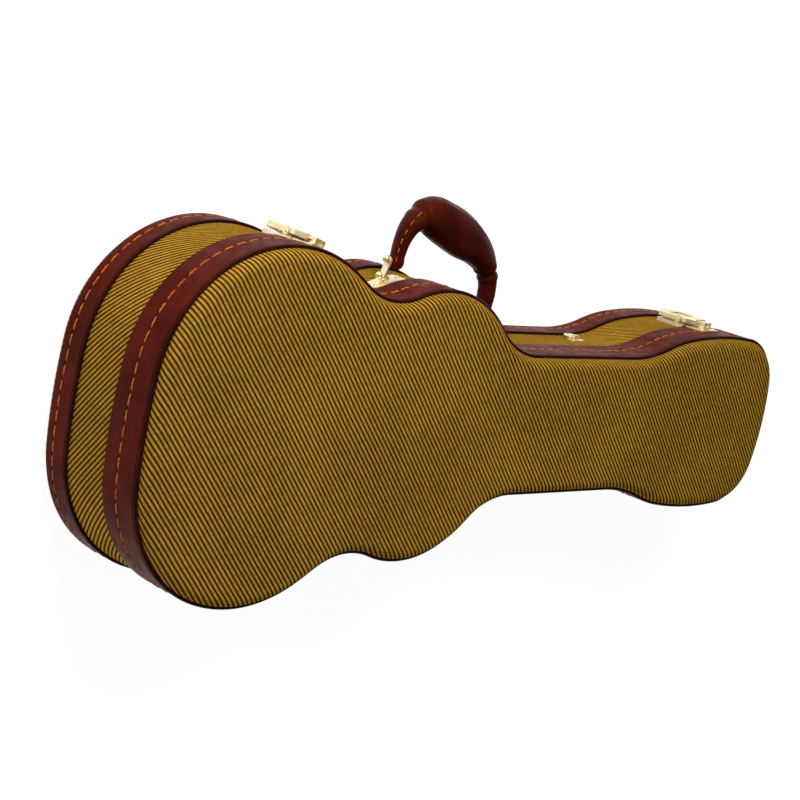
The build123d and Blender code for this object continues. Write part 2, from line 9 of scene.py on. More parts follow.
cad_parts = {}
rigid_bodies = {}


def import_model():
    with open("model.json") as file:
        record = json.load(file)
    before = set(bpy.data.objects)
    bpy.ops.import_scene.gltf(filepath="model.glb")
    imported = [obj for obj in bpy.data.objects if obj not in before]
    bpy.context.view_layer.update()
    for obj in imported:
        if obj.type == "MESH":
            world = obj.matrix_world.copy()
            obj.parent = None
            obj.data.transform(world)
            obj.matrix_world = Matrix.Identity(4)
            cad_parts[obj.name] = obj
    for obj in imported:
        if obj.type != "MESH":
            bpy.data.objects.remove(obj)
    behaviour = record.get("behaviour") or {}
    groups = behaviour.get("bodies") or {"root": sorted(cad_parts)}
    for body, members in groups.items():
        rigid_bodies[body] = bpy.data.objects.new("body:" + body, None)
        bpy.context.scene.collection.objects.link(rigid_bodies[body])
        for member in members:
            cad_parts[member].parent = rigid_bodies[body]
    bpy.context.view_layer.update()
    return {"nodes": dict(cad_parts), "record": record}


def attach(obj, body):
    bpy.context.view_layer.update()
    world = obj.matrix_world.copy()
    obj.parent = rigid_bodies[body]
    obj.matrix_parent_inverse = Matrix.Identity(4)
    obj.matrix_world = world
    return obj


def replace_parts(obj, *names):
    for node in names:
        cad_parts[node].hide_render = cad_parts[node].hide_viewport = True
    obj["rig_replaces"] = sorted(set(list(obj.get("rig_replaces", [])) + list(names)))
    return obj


# A small guitar-shaped carrying case lying on its back: +X to the headstock, +Y to the handle side.
# Shapes below are in millimetres and become metres when a mesh is made.
MM = 0.001

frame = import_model()

# ---- driving dimensions -------------------------------------------------------
TAIL_X = -330.0
# One half of the outline from tail to headstock: (radius, turn in degrees), or (length, 0) for a straight.
HALF_OUTLINE = (
    (414.0, 5.0),            # tail end
    (91.5, 61.5),            # lower bout
    (106.0, 25.2),
    (105.3, 30.3),
    (14.1, 0),
    (55.8, -52.6),           # waist
    (84.4, 35.1),            # upper bout
    (88.0, 29.2),
    (4.5, 0),
    (61.5, -43.8),           # shoulder into neck
    (113.6, 0),              # neck
    (125.7, -19.5),          # headstock flare
    (5.1, 0),
    (135.9, 11.1),
    (322.6, 14.5),
    (43.8, 72.6),            # headstock corner
)
RIM_STEP = 2.2               # largest step along the rim in every swept piece
FADE = 25.0                  # a sheet's waves fade out this close to the rim

BAND = 2.0                   # bands stand this proud of the tweed
EDGE_RADIUS = 7.9            # rounded edge of face and back
BACK_EDGE_TOP = 8.0
BACK_BAND_TOP = 28.0
SEAM = 69.0                  # the lid parts from the body here
LID_BAND_TOP = 101.0
FACE_TOP = 110.0
SEAM_GAP = 0.15              # half of the gap between lid and body

PLUSH_EDGE = 8.4             # inset where the plush meets the plywood
PLUSH_WALL = 13.7            # inset of the plush walls
PLUSH_ROLL = 2.5             # radius of the plush's rolled edge
PLUSH_CORNER = 6.0           # radius between plush wall and floor

CORD_PITCH = 3.05            # from one tweed cord to the next
LID_STITCH_Z = 84.0
BACK_STITCH_Z = 15.5
STITCH_PITCH = 10.0
STITCH_LENGTH = 8.0
BAND_THREAD = 1.25           # thickness of the thread in the bands
HANDLE_THREAD = 0.8

HANDLE_Z = 61.3
# Padded handle: centre line (x, y) and its half thickness and half width there.
HANDLE_STATIONS = (
    (-102.2, 101.7, 2.6, 3.0),
    (-101.9, 103.5, 4.2, 4.8),
    (-101.4, 112.0, 4.8, 5.7),
    (-98.8, 124.8, 5.7, 6.9),
    (-91.9, 135.7, 7.5, 9.3),
    (-80.0, 140.8, 13.0, 12.0),
    (-60.3, 136.1, 15.8, 13.6),
    (-39.5, 127.8, 15.6, 13.4),
    (-22.7, 119.4, 12.0, 11.9),
    (-10.4, 109.0, 8.5, 9.1),
    (-3.4, 96.2, 6.3, 7.5),
    (-2.6, 82.3, 5.8, 6.9),
    (-4.2, 72.5, 4.9, 5.7),
    (-4.6, 70.1, 3.0, 3.4),
)
CREASES = (41.0, 132.5)      # along the handle, where the padded grip begins and ends
RIDGES = (radians(42), radians(318))     # round the handle, where the leather's edges meet


# ---- shader helpers -----------------------------------------------------------
class Shader:
    """A material with a Principled surface and short calls for its nodes."""

    def __init__(self, name):
        self.material = bpy.data.materials.new(name)
        self.material.use_nodes = True
        self.tree = self.material.node_tree
        self.surface = self.tree.nodes["Principled BSDF"]

    def add(self, kind, inputs=None, **settings):
        """A node with its inputs linked or set."""
        made = self.tree.nodes.new(kind)
        for key, value in settings.items():
            setattr(made, key, value)
        for key, value in (inputs or {}).items():
            self.put(made.inputs[key], value)
        return made

    def put(self, socket, value):
        """Links a socket, or sets a constant on it."""
        if isinstance(value, bpy.types.NodeSocket):
            self.tree.links.new(value, socket)
        else:
            socket.default_value = value

    def math(self, operation, a, b=0.0, c=0.0):
        return self.add("ShaderNodeMath", {0: a, 1: b, 2: c}, operation=operation).outputs[0]

    def smooth(self, value, low, high, to_low=0.0, to_high=1.0):
        """A smooth step of a value between two limits."""
        inputs = {0: value, 1: low, 2: high, 3: to_low, 4: to_high}
        return self.add("ShaderNodeMapRange", inputs, interpolation_type="SMOOTHSTEP").outputs[0]

    def noise(self, vector, scale, detail=3.0, roughness=0.55):
        inputs = {"Vector": vector, "Scale": scale, "Detail": detail, "Roughness": roughness}
        return self.add("ShaderNodeTexNoise", inputs).outputs["Fac"]

    def cells(self, vector, scale, feature="F1"):
        inputs = {"Vector": vector, "Scale": scale}
        return self.add("ShaderNodeTexVoronoi", inputs, feature=feature).outputs["Distance"]

    def join(self, x, y, z=0.0):
        return self.add("ShaderNodeCombineXYZ", {0: x, 1: y, 2: z}).outputs[0]

    def mix(self, factor, a, b, blend="MIX"):
        """A colour between a and b."""
        inputs = {"Factor": factor, 6: a, 7: b}
        return self.add("ShaderNodeMix", inputs, data_type="RGBA", blend_type=blend).outputs[2]

    def bump(self, height, distance, strength=1.0, normal=None):
        inputs = {"Height": height, "Distance": distance * MM, "Strength": strength}
        if normal is not None:
            inputs["Normal"] = normal
        return self.add("ShaderNodeBump", inputs).outputs["Normal"]

    def uv(self):
        """The piece's own surface coordinates in millimetres."""
        return self.add("ShaderNodeUVMap", uv_map="UVMap").outputs["UV"]

    def place(self):
        """The place in the row frame in millimetres, at rest."""
        coords = self.add("ShaderNodeTexCoord").outputs["Object"]
        return self.add("ShaderNodeVectorMath", {0: coords, "Scale": 1000.0}, operation="SCALE").outputs[0]

    def finish(self, color, roughness, normal=None, **values):
        self.put(self.surface.inputs["Base Color"], color)
        self.put(self.surface.inputs["Roughness"], roughness)
        if normal is not None:
            self.put(self.surface.inputs["Normal"], normal)
        for key, value in values.items():
            self.put(self.surface.inputs[key.replace("_", " ")], value)
        return self.material


def rgb(r, g, b):
    return (r, g, b, 1.0)


def make_tweed(name, angle):
    """Diagonal twill: raised golden cords with dark brown between, square to the given direction."""
    s = Shader(name)
    uv = s.uv()
    split = s.add("ShaderNodeSeparateXYZ", {0: uv})
    u, v = split.outputs[0], split.outputs[1]
    a, b = cos(radians(angle)), sin(radians(angle))
    drift = s.math("MULTIPLY", s.math("SUBTRACT", s.noise(uv, 0.014, 2.0), 0.5), 0.5)
    shake = s.math("MULTIPLY", s.math("SUBTRACT", s.noise(uv, 0.5, 2.0), 0.5), 0.07)
    over = s.math("ADD", s.math("MULTIPLY", u, a / CORD_PITCH), s.math("MULTIPLY", v, b / CORD_PITCH))
    over = s.math("ADD", over, s.math("ADD", drift, shake))
    along = s.math("SUBTRACT", s.math("MULTIPLY", v, a), s.math("MULTIPLY", u, b))
    cord = s.math("FLOOR", over)
    part = s.math("FRACT", over)
    swell = s.math("SINE", s.math("MULTIPLY", part, pi))
    own = s.add("ShaderNodeTexWhiteNoise", {"W": cord}, noise_dimensions="1D").outputs["Value"]
    # the short floats that each cord is woven from
    lean = s.math("ADD", s.math("MULTIPLY", along, 0.95), s.math("MULTIPLY", part, 1.1))
    lean = s.math("ADD", lean, s.math("MULTIPLY", own, 7.0))
    float_part = s.math("FRACT", lean)
    float_swell = s.math("SINE", s.math("MULTIPLY", float_part, pi))
    float_id = s.join(cord, s.math("FLOOR", lean))
    float_noise = s.add("ShaderNodeTexWhiteNoise", {"Vector": float_id}, noise_dimensions="2D")
    float_own = float_noise.outputs["Value"]
    stretch = s.join(s.math("MULTIPLY", cord, 3.7), s.math("MULTIPLY", along, 0.16))
    hue = s.noise(stretch, 1.0, 2.0)
    fibre = s.noise(s.join(s.math("MULTIPLY", over, 9.0), s.math("MULTIPLY", along, 0.9)), 1.0, 3.0, 0.7)
    gold = s.mix(s.smooth(hue, 0.35, 0.65), rgb(0.385, 0.228, 0.013), rgb(0.585, 0.268, 0.024))
    gold = s.mix(s.math("MULTIPLY", float_own, 0.45), gold, rgb(0.70, 0.40, 0.06))
    # painted shade: each float darkened towards its ends, where it dips into the weave
    gold = s.mix(s.smooth(float_swell, 0.5, 0.0, 0.0, 0.42), gold, rgb(0.16, 0.10, 0.015))
    gold = s.mix(s.smooth(fibre, 0.62, 0.3, 0.0, 0.35), gold, rgb(0.20, 0.13, 0.02))
    dark = s.mix(hue, rgb(0.030, 0.016, 0.004), rgb(0.060, 0.026, 0.008))
    fuzz = s.math("MULTIPLY", s.math("SUBTRACT", fibre, 0.5), 0.22)
    shown = s.smooth(s.math("ADD", swell, fuzz), 0.52, 0.80)
    color = s.mix(shown, dark, gold)
    worn = s.smooth(s.noise(uv, 0.012, 3.0), 0.35, 0.75, 0.86, 1.06)
    color = s.mix(1.0, color, s.join(worn, worn, worn), "MULTIPLY")
    height = s.math("ADD", swell, s.math("MULTIPLY", float_swell, 0.35))
    height = s.math("ADD", height, s.math("MULTIPLY", fibre, 0.3))
    normal = s.bump(height, 0.35, 0.9)
    return s.finish(color, 0.85, normal, Specular_IOR_Level=0.0)


def make_leather(name, light, dark, rough, crease=0.0, specular=0.05):
    """Grained leatherette with colour patches, painted shade in the grain's valleys, pores, scuffs and a
    soft sheen.
    """
    s = Shader(name)
    uv = s.uv()
    place = s.place()
    patches = s.noise(place, 0.035, 4.0)
    mottle = s.noise(place, 0.22, 3.0)
    grain = s.cells(uv, 0.95, "DISTANCE_TO_EDGE")
    fine = s.noise(uv, 2.4, 3.0, 0.6)
    pores = s.smooth(s.cells(uv, 1.6), 0.0, 0.22, 1.0, 0.0)
    color = s.mix(s.smooth(patches, 0.3, 0.7), dark, light)
    color = s.mix(s.smooth(mottle, 0.4, 0.75, 0.0, 0.35), color, dark)
    # painted shade: the grain's valleys, where the bump sinks, darkened to 0.4 of the dark colour
    grain_valley_shade = rgb(dark[0] * 0.4, dark[1] * 0.4, dark[2] * 0.4)
    color = s.mix(s.smooth(grain, 0.0, 0.14, 0.45, 0.0), color, grain_valley_shade)
    scuff = s.math("MULTIPLY", s.smooth(s.noise(place, 0.11, 6.0, 0.7), 0.62, 0.72), 0.28)
    color = s.mix(scuff, color, rgb(light[0] * 1.8, light[1] * 2.6, light[2] * 2.6))
    height = s.math("ADD", s.smooth(grain, 0.0, 0.2), s.math("MULTIPLY", fine, 0.6))
    height = s.math("SUBTRACT", height, s.math("MULTIPLY", pores, 0.5))
    normal = s.bump(height, 0.09, 0.8)
    if crease:
        split = s.add("ShaderNodeSeparateXYZ", {0: uv})
        along = s.math("MULTIPLY", split.outputs[0], 0.55)
        around = s.math("MULTIPLY", split.outputs[1], 0.07)
        fold = s.noise(s.join(along, around), 1.0, 4.0)
        normal = s.bump(fold, crease, 0.8, normal)
    gloss = s.smooth(s.noise(place, 0.09, 4.0), 0.3, 0.7, rough - 0.08, rough + 0.12)
    tint = rgb(1.0, 0.55, 0.22)
    return s.finish(color, gloss, normal, Specular_IOR_Level=specular, Specular_Tint=tint)


def make_thread():
    """Waxed orange thread."""
    s = Shader("stitching_thread")
    place = s.place()
    own = s.noise(place, 0.08, 2.0)
    color = s.mix(s.smooth(own, 0.3, 0.7), rgb(0.44, 0.100, 0.010), rgb(0.58, 0.185, 0.020))
    color = s.mix(s.smooth(s.noise(place, 2.2, 3.0), 0.5, 0.75, 0.0, 0.5), color, rgb(0.28, 0.05, 0.012))
    normal = s.bump(s.noise(place, 4.0, 3.0), 0.05, 0.7)
    return s.finish(color, 0.6, normal, Specular_IOR_Level=0.1)


def make_plush(name, low, high):
    """Short-pile plush: dark where the pile stands, light where it is brushed over, with painted shade
    between the tufts and painted highlights on the pile's tips.
    """
    s = Shader(name)
    place = s.place()
    brushed = s.noise(place, 0.028, 4.0, 0.6)
    tufts = s.noise(place, 1.5, 3.0, 0.7)
    pile = s.noise(place, 5.0, 2.0, 0.7)
    color = s.mix(s.smooth(brushed, 0.35, 0.65), low, high)
    # painted shade between the tufts, and painted highlights on the pile's raised tips where the bump rises
    tuft_shade = rgb(low[0] * 0.45, low[1] * 0.45, low[2] * 0.45)
    pile_tip_highlight = rgb(high[0] * 1.7, high[1] * 2.2, high[2] * 2.2)
    color = s.mix(s.smooth(tufts, 0.62, 0.35, 0.0, 0.5), color, tuft_shade)
    color = s.mix(s.smooth(pile, 0.5, 0.75, 0.0, 0.35), color, pile_tip_highlight)
    height = s.math("ADD", tufts, s.math("MULTIPLY", pile, 0.7))
    normal = s.bump(height, 0.5, 0.7)
    return s.finish(color, 0.95, normal, Specular_IOR_Level=0.1, Sheen_Weight=0.55, Sheen_Roughness=0.4)


def make_plywood():
    """Bare plywood: thin plies seen on the edges, long grain on the faces."""
    s = Shader("shell_plywood")
    place = s.place()
    split = s.add("ShaderNodeSeparateXYZ", {0: place})
    x, y, z = split.outputs[0], split.outputs[1], split.outputs[2]
    bend = s.math("MULTIPLY", s.noise(place, 0.06, 2.0), 1.2)
    ply = s.math("FRACT", s.math("ADD", s.math("MULTIPLY", z, 0.7), bend))
    long_grain = s.join(s.math("MULTIPLY", x, 0.04), s.math("MULTIPLY", y, 1.3), s.math("MULTIPLY", z, 1.3))
    grain = s.noise(long_grain, 1.0, 5.0, 0.65)
    color = s.mix(s.smooth(grain, 0.3, 0.7), rgb(0.42, 0.26, 0.12), rgb(0.62, 0.44, 0.25))
    color = s.mix(s.smooth(ply, 0.42, 0.5, 0.0, 0.4), color, rgb(0.26, 0.14, 0.06))
    color = s.mix(s.smooth(s.noise(place, 1.7, 3.0), 0.62, 0.7, 0.0, 0.5), color, rgb(0.18, 0.09, 0.04))
    return s.finish(color, 0.68, s.bump(grain, 0.15, 0.6), Specular_IOR_Level=0.3)


def make_brass(name, color_a, color_b, rough):
    """Plated brass with fine polishing lines, cloudy tarnish and small scratches."""
    s = Shader(name)
    place = s.place()
    split = s.add("ShaderNodeSeparateXYZ", {0: place})
    x, y, z = split.outputs[0], split.outputs[1], split.outputs[2]
    lines = s.join(s.math("MULTIPLY", x, 0.25), s.math("MULTIPLY", y, 5.0), s.math("MULTIPLY", z, 5.0))
    polish = s.noise(lines, 1.0, 4.0, 0.7)
    cloud = s.noise(place, 0.14, 5.0, 0.6)
    color = s.mix(s.smooth(cloud, 0.35, 0.7), color_a, color_b)
    spots = s.smooth(s.noise(place, 0.6, 5.0, 0.7), 0.66, 0.78, 0.0, 0.55)
    color = s.mix(spots, color, rgb(0.30, 0.19, 0.06))
    gloss = s.math("ADD", s.smooth(cloud, 0.3, 0.75, rough, rough + 0.16), s.math("MULTIPLY", polish, 0.08))
    scratch = s.smooth(s.cells(lines, 0.35, "DISTANCE_TO_EDGE"), 0.0, 0.03, 1.0, 0.0)
    height = s.math("SUBTRACT", s.math("MULTIPLY", polish, 0.5), scratch)
    return s.finish(color, gloss, s.bump(height, 0.02, 0.5), Metallic=1.0)


FACE_TWEED = make_tweed("tweed_flat", 42.0)
RIM_TWEED = make_tweed("tweed_rim", 132.0)
BAND_LEATHER = make_leather(
    "band_leatherette", rgb(0.118, 0.0080, 0.0020), rgb(0.064, 0.0035, 0.0010), 0.44, specular=0.045
)
# The lid piping and the back band's welt are made near-black, far darker than the bands: painted shade of
# the dark groove line at the face and back edges.
PIPING_SHADE_LEATHER = make_leather(
    "piping_shade_leatherette", rgb(0.040, 0.005, 0.004), rgb(0.018, 0.003, 0.002), 0.38
)
GRIP_LEATHER = make_leather(
    "grip_leather", rgb(0.085, 0.008, 0.0035), rgb(0.036, 0.003, 0.0014), 0.34, crease=0.5, specular=0.07
)
THREAD = make_thread()
PLUSH = make_plush("wine_plush", rgb(0.10, 0.008, 0.014), rgb(0.20, 0.020, 0.030))
PLYWOOD = make_plywood()
BRASS = make_brass("pale_brass", rgb(0.95, 0.86, 0.58), rgb(0.92, 0.77, 0.42), 0.36)


# ---- the outline ----------------------------------------------------------------
def half_rim(step):
    """Rows of x, y, outward x, outward y and arc length along the +Y half, from tail to head."""
    place = np.array([TAIL_X, 0.0])
    heading, run = pi / 2, 0.0
    rows = [[*place, -1.0, 0.0, 0.0]]

    def follow(size, turn):
        nonlocal place, heading, run
        out = np.array([-sin(heading), cos(heading)])
        length = size if turn == 0 else size * abs(turn)
        steps = max(2, int(np.ceil(length / step)))
        side = np.sign(turn)
        middle = place - out * side * size
        begin = place.copy()
        for i in range(1, steps + 1):
            if turn == 0:
                place = begin + np.array([cos(heading), sin(heading)]) * size * i / steps
                n = out
            else:
                a = heading - turn * i / steps
                n = np.array([-sin(a), cos(a)])
                place = middle + n * side * size
            rows.append([*place, *n, run + length * i / steps])
        heading -= turn
        run += length

    for size, turn in HALF_OUTLINE:
        follow(size, radians(turn))
    follow(place[1] / cos(heading), pi / 2 + heading)
    rows[-1][1] = 0.0
    return np.array(rows)


HALF = half_rim(RIM_STEP)
LOWER = HALF[::-1] * np.array([1, -1, 1, -1, -1])
RIM = np.vstack([LOWER, HALF[1:]])
RIM_LENGTH = HALF[-1, 4]


def rim_at(s, inset, z):
    """The point at arc length s on the rim, in millimetres."""
    row = [np.interp(s, RIM[:, 4], RIM[:, k]) for k in range(4)]
    n = np.array(row[2:]) / np.hypot(row[2], row[3])
    return np.array([row[0] - n[0] * inset, row[1] - n[1] * inset, z])


def ripple(x, y, seed, scale):
    """Gentle unevenness from -1 to 1."""
    rng = np.random.default_rng(seed)
    total = 0.0
    for _ in range(7):
        a, k, p = rng.uniform(0, tau), rng.uniform(0.5, 1.6) / scale, rng.uniform(0, tau)
        total = total + np.sin((x * cos(a) + y * sin(a)) * k * tau + p)
    return total / 4.0


def make_mesh(name, points, faces, uvs, material, weld=1e-3):
    """An object from points in millimetres, faces, and one uv per point."""
    mesh = bpy.data.meshes.new(name)
    mesh.from_pydata([tuple(p) for p in np.asarray(points) * MM], [], faces)
    layer = mesh.uv_layers.new(name="UVMap")
    corner = np.zeros(len(mesh.loops), dtype=np.int32)
    mesh.loops.foreach_get("vertex_index", corner)
    layer.data.foreach_set("uv", np.asarray(uvs, float)[corner].astype(np.float32).ravel())
    if weld:
        work = bmesh.new()
        work.from_mesh(mesh)
        bmesh.ops.remove_doubles(work, verts=work.verts, dist=weld * MM)
        bmesh.ops.dissolve_degenerate(work, edges=work.edges, dist=weld * MM)
        work.to_mesh(mesh)
        work.free()
    mesh.shade_smooth()
    mesh.materials.append(material)
    made = bpy.data.objects.new(name, mesh)
    bpy.context.scene.collection.objects.link(made)
    return made


def fill_outline(inset, level, facing, seed, wave, base):
    """Points and faces of a sheet inside the outline, in strips from the -Y rim to the +Y rim.

    Its faces number its points from base on. The wave fades out within FADE of the rim.
    """
    strips = 28
    x = HALF[:, 0] - HALF[:, 2] * inset
    y = HALF[:, 1] - HALF[:, 3] * inset
    share = np.linspace(-1, 1, strips + 1)
    grid_x = np.repeat(x[:, None], strips + 1, 1)
    grid_y = y[:, None] * share[None, :]
    side_fade = np.clip((1 - np.abs(share))[None, :] * y[:, None] / FADE, 0, 1)
    tail_fade = np.clip((grid_x - x[0]) / FADE, 0, 1)
    fade = side_fade * tail_fade
    grid_z = level + wave * ripple(grid_x, grid_y, seed, 90.0) * fade
    points = np.stack([grid_x, grid_y, grid_z], -1).reshape(-1, 3)
    faces = []
    for i in range(len(HALF) - 1):
        for j in range(strips):
            a = base + i * (strips + 1) + j
            quad = (a, a + strips + 1, a + strips + 2, a + 1)
            faces.append(quad if facing > 0 else quad[::-1])
    return points, faces


def rim_piece(name, profile, material, cap=0, flat=False, uneven=0.0, seed=1, cap_wave=0.0):
    """A profile of (inset, z) points swept round the rim, seen from outside when it runs upwards.

    cap 1 or -1 also fills its last ring, facing up or down, and flat lays its coordinates out like the
    cap's. uneven and cap_wave are how far the leather or cloth strays from its true surface.
    """
    profile = np.array(profile, float)
    count = len(profile)
    path = np.concatenate([[0], np.cumsum(np.hypot(*np.diff(profile, axis=0).T))])
    s = RIM[:, 4][:, None]
    inset = profile[None, :, 0] + uneven * ripple(s, profile[None, :, 1], seed, 55.0)
    x = RIM[:, 0][:, None] - RIM[:, 2][:, None] * inset
    y = RIM[:, 1][:, None] - RIM[:, 3][:, None] * inset
    z = np.broadcast_to(profile[None, :, 1], x.shape)
    if flat:
        lay = profile[-1, 0] - (path[-1] - path)
        u = RIM[:, 0][:, None] - RIM[:, 2][:, None] * lay
        v = RIM[:, 1][:, None] - RIM[:, 3][:, None] * lay
    else:
        u = np.broadcast_to(s, x.shape)
        v = np.broadcast_to(profile[0, 1] + path[None, :], x.shape)
    points = np.stack([x, y, z], -1).reshape(-1, 3)
    uvs = np.stack([u, v], -1).reshape(-1, 2)
    faces = []
    for i in range(len(RIM) - 1):
        for j in range(count - 1):
            a = i * count + j
            faces.append((a, a + 1, a + count + 1, a + count))
    if cap:
        cap_points, cap_faces = fill_outline(*profile[-1], cap, seed + 5, cap_wave, len(points))
        points = np.vstack([points, cap_points])
        uvs = np.vstack([uvs, cap_points[:, :2]])
        faces += cap_faces
    return make_mesh(name, points, faces, uvs, material)


def arc(center, radius, start, end, steps):
    """Profile points on a circle, angles in degrees: 0 points into the case and 90 upwards."""
    turn = np.radians(np.linspace(start, end, steps + 1))
    return [(center[0] + radius * cos(a), center[1] + radius * sin(a)) for a in turn]


def band_profile(low, high, tuck, groove):
    """A leatherette band with rolled edges and a sunken stitch line."""
    roll, clear = 1.0, 0.05
    points = [(tuck, low + clear), (1.2, low + clear)]
    points += arc((roll, low + clear + roll), roll, 255, 180, 4)
    points += [(0.0, z) for z in np.linspace(low + 2.2, groove - 1.6, 4)]
    for depth, shift in ((0.05, -1.1), (0.30, -0.55), (0.42, 0.0), (0.30, 0.55), (0.05, 1.1)):
        points.append((depth, groove + shift))
    points += [(0.0, z) for z in np.linspace(groove + 1.6, high - 2.2, 5)]
    points += arc((roll, high - clear - roll), roll, 180, 105, 4)
    points.append((tuck, high - clear))
    return points


# ---- covers of the lid: tweed face with its rounded edge, band, piping --------------------
edge_start = FACE_TOP - EDGE_RADIUS
face_profile = [(BAND + 0.4, LID_BAND_TOP), (BAND + 0.05, LID_BAND_TOP + 0.6), (BAND, edge_start)]
face_profile += arc((BAND + EDGE_RADIUS, edge_start), EDGE_RADIUS, 170, 90, 12)
lid_face = rim_piece("lid_face_cloth", face_profile, FACE_TWEED, cap=1, flat=True, seed=3, cap_wave=0.22)
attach(lid_face, "lid")
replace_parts(lid_face, "lid_tweed_face")

lid_band_profile = band_profile(SEAM + SEAM_GAP, LID_BAND_TOP + 0.2, BAND + 1.0, LID_STITCH_Z)
lid_band = rim_piece("lid_band", lid_band_profile, BAND_LEATHER, uneven=0.10, seed=11)
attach(lid_band, "lid")
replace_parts(lid_band, "lid_binding")

piping_profile = arc((1.25, LID_BAND_TOP + 1.45), 1.5, 20, -340, 14)
lid_cord = rim_piece("lid_piping_roll", piping_profile, PIPING_SHADE_LEATHER, uneven=0.06, seed=12)
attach(lid_cord, "lid")
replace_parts(lid_cord, "lid_piping")

# ---- covers of the body: tweed strip, band with its welt, tweed back ----------------------
rim_profile = [(BAND, z) for z in np.linspace(BACK_BAND_TOP - 0.5, SEAM - 1.6, 12)]
rim_profile += arc((BAND + 1.2, SEAM - 1.4), 1.2, 180, 100, 4)
rim_profile.append((BAND + 1.6, SEAM - 0.2))
rim_cloth = rim_piece("rim_cloth", rim_profile, RIM_TWEED, uneven=0.05, seed=21)
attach(rim_cloth, "case_body")
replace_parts(rim_cloth, "body_tweed_rim")

body_band_profile = band_profile(BACK_EDGE_TOP, BACK_BAND_TOP + 0.2, BAND + 0.2, BACK_STITCH_Z)
body_band = rim_piece("back_band", body_band_profile, BAND_LEATHER, uneven=0.10, seed=22)
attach(body_band, "case_body")
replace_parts(body_band, "body_binding")

welt_profile = arc((1.05, BACK_BAND_TOP + 0.9), 1.25, 20, -340, 12)
welt = rim_piece("back_band_welt", welt_profile, PIPING_SHADE_LEATHER, uneven=0.05, seed=23)
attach(welt, "case_body")
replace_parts(welt, "body_welt")

back_profile = [(BAND + 0.3, BACK_EDGE_TOP + 0.4), (BAND, BACK_EDGE_TOP + 0.1)]
back_profile += arc((BAND + EDGE_RADIUS, EDGE_RADIUS), EDGE_RADIUS, 185, 270, 12)
back_cloth = rim_piece("back_cloth", back_profile, FACE_TWEED, cap=-1, flat=True, seed=24)
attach(back_cloth, "case_body")
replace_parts(back_cloth, "body_tweed_back")


# ---- stitches ---------------------------------------------------------------------
def thread_mesh(name, runs, thick):
    """Twisted two-strand stitches. Each run is a list of (point, up) rows in millimetres."""
    points, faces, uvs = [], [], []
    sides = 6
    for number, run in enumerate(runs):
        places = np.array([r[0] for r in run])
        ups = np.array([r[1] for r in run])
        along = np.gradient(places, axis=0)
        along /= np.linalg.norm(along, axis=1)[:, None]
        wide = np.cross(along, ups)
        wide /= np.linalg.norm(wide, axis=1)[:, None]
        ups = np.cross(wide, along)
        for strand in (0, 1):
            base = len(points)
            for i in range(len(places)):
                twist = strand * pi + i * 0.9 + number
                core = places[i] + (wide[i] * cos(twist) + ups[i] * sin(twist)) * thick * 0.24
                end = 0.55 if i in (0, len(places) - 1) else 1.0
                for k in range(sides):
                    a = tau * k / sides
                    points.append(core + (wide[i] * cos(a) + ups[i] * sin(a)) * thick * 0.30 * end)
                    uvs.append((i * 1.0, k * 0.6))
            for i in range(len(places) - 1):
                for k in range(sides):
                    a, b = base + i * sides + k, base + i * sides + (k + 1) % sides
                    faces.append((a, a + sides, b + sides, b))
    return make_mesh(name, points, faces, uvs, THREAD, weld=0)


def rim_stitches(name, z, seed):
    """A line of stitches round the rim. Each dips into the leather at both ends."""
    rng = np.random.default_rng(seed)
    count = int(2 * RIM_LENGTH / STITCH_PITCH)
    runs = []
    for k in range(count):
        begin = -RIM_LENGTH + (k + 0.5) * 2 * RIM_LENGTH / count - STITCH_LENGTH / 2
        tilt = rng.uniform(-0.16, 0.16)
        long = STITCH_LENGTH * rng.uniform(0.94, 1.05)
        run = []
        for i in range(9):
            t = i / 8
            dip = 0.75 * (abs(2 * t - 1) ** 5)
            here = rim_at(begin + long * t, 0.16 + dip, z + tilt * (2 * t - 1))
            out = rim_at(begin + long * t, -1.0, 0) - rim_at(begin + long * t, 0.0, 0)
            run.append((here, out))
        runs.append(run)
    return thread_mesh(name, runs, BAND_THREAD)


lid_thread = rim_stitches("lid_band_stitches", LID_STITCH_Z, 31)
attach(lid_thread, "lid")
body_thread = rim_stitches("back_band_stitches", BACK_STITCH_Z, 32)
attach(body_thread, "case_body")

# ---- linings ------------------------------------------------------------------------
lining_profile = [(PLUSH_EDGE, 56.0), (PLUSH_EDGE, 58.5)]
lining_profile += arc((PLUSH_EDGE + PLUSH_ROLL, 57.4), PLUSH_ROLL, 150, 10, 8)
lining_profile += [(PLUSH_WALL, z) for z in np.linspace(54.0, 20.0, 7)]
lining_profile += arc((20.0, 17.0), PLUSH_CORNER, 180, 270, 6)[1:]
body_plush = rim_piece("body_plush_lining", lining_profile, PLUSH, cap=1, flat=True, uneven=0.45, seed=41)
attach(body_plush, "case_body")
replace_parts(body_plush, "body_lining")

lid_profile = [(PLUSH_EDGE, 79.5), (PLUSH_EDGE, 77.0)]
lid_profile += arc((PLUSH_EDGE + PLUSH_ROLL, 77.9), PLUSH_ROLL, 210, 350, 8)
lid_profile += [(PLUSH_WALL, z) for z in np.linspace(80.5, 91.0, 4)]
lid_profile += arc((20.0, 93.0), PLUSH_CORNER, 180, 90, 6)[1:]
lid_plush = rim_piece("lid_plush_lining", lid_profile, PLUSH, -1, True, 0.45, 42, cap_wave=0.35)
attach(lid_plush, "lid")
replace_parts(lid_plush, "lid_lining")


# ---- small padded fittings: cloth filled with air, in a short simulation --------------
CLOTH_FRAMES = 20


def bake(obj):
    """Replaces an object's mesh by what its modifiers make of it."""
    bpy.context.view_layer.update()
    graph = bpy.context.evaluated_depsgraph_get()
    mesh = bpy.data.meshes.new_from_object(obj.evaluated_get(graph))
    obj.modifiers.clear()
    obj.data = mesh


def vertices(obj):
    """An object's vertices as rows of x, y and z in metres."""
    flat = np.zeros(len(obj.data.vertices) * 3)
    obj.data.vertices.foreach_get("co", flat)
    return flat.reshape(-1, 3)


